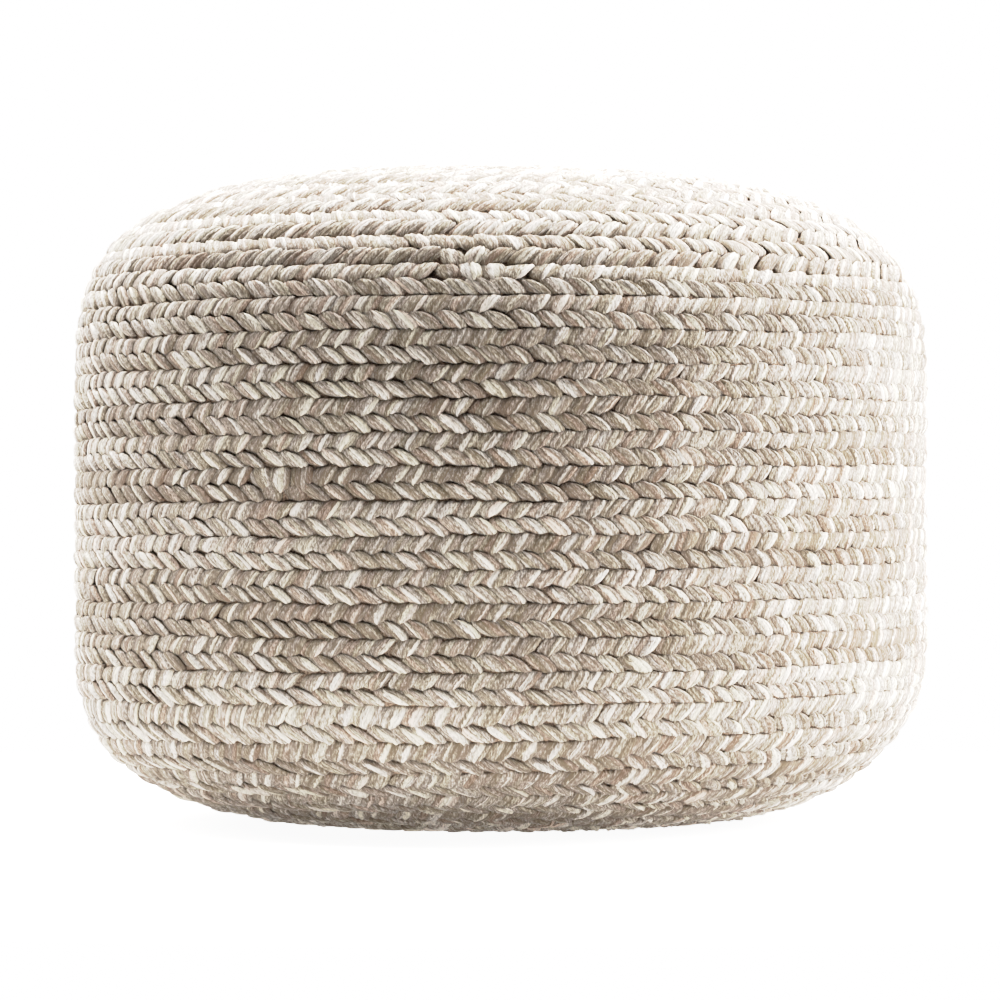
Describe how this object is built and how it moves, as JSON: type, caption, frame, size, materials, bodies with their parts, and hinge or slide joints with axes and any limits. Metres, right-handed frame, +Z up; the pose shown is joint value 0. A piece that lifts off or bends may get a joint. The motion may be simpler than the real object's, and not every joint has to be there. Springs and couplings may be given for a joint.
{
  "type": "woven outdoor pouf",
  "caption": "Round filled pouf covered in a heathered flat braid, coiled up from its flat base and over the wall, with a separately coiled top sewn on under the shoulder.",
  "frame": {"origin": "middle of the flat underside, on the surface that the pouf stands on", "axes": "+Z up through the middle of the top, front of the pouf towards -Y"},
  "size_m": [0.508, 0.508, 0.3852],
  "materials": {
    "heathered_braid": "soft outdoor yarn in mixed taupe and cream, plaited in three strands, matt with a slight fuzz"
  },
  "bodies": {
    "root": {"wall_and_base": "heathered_braid", "top_disc": "heathered_braid"}
  },
  "joints": []
}
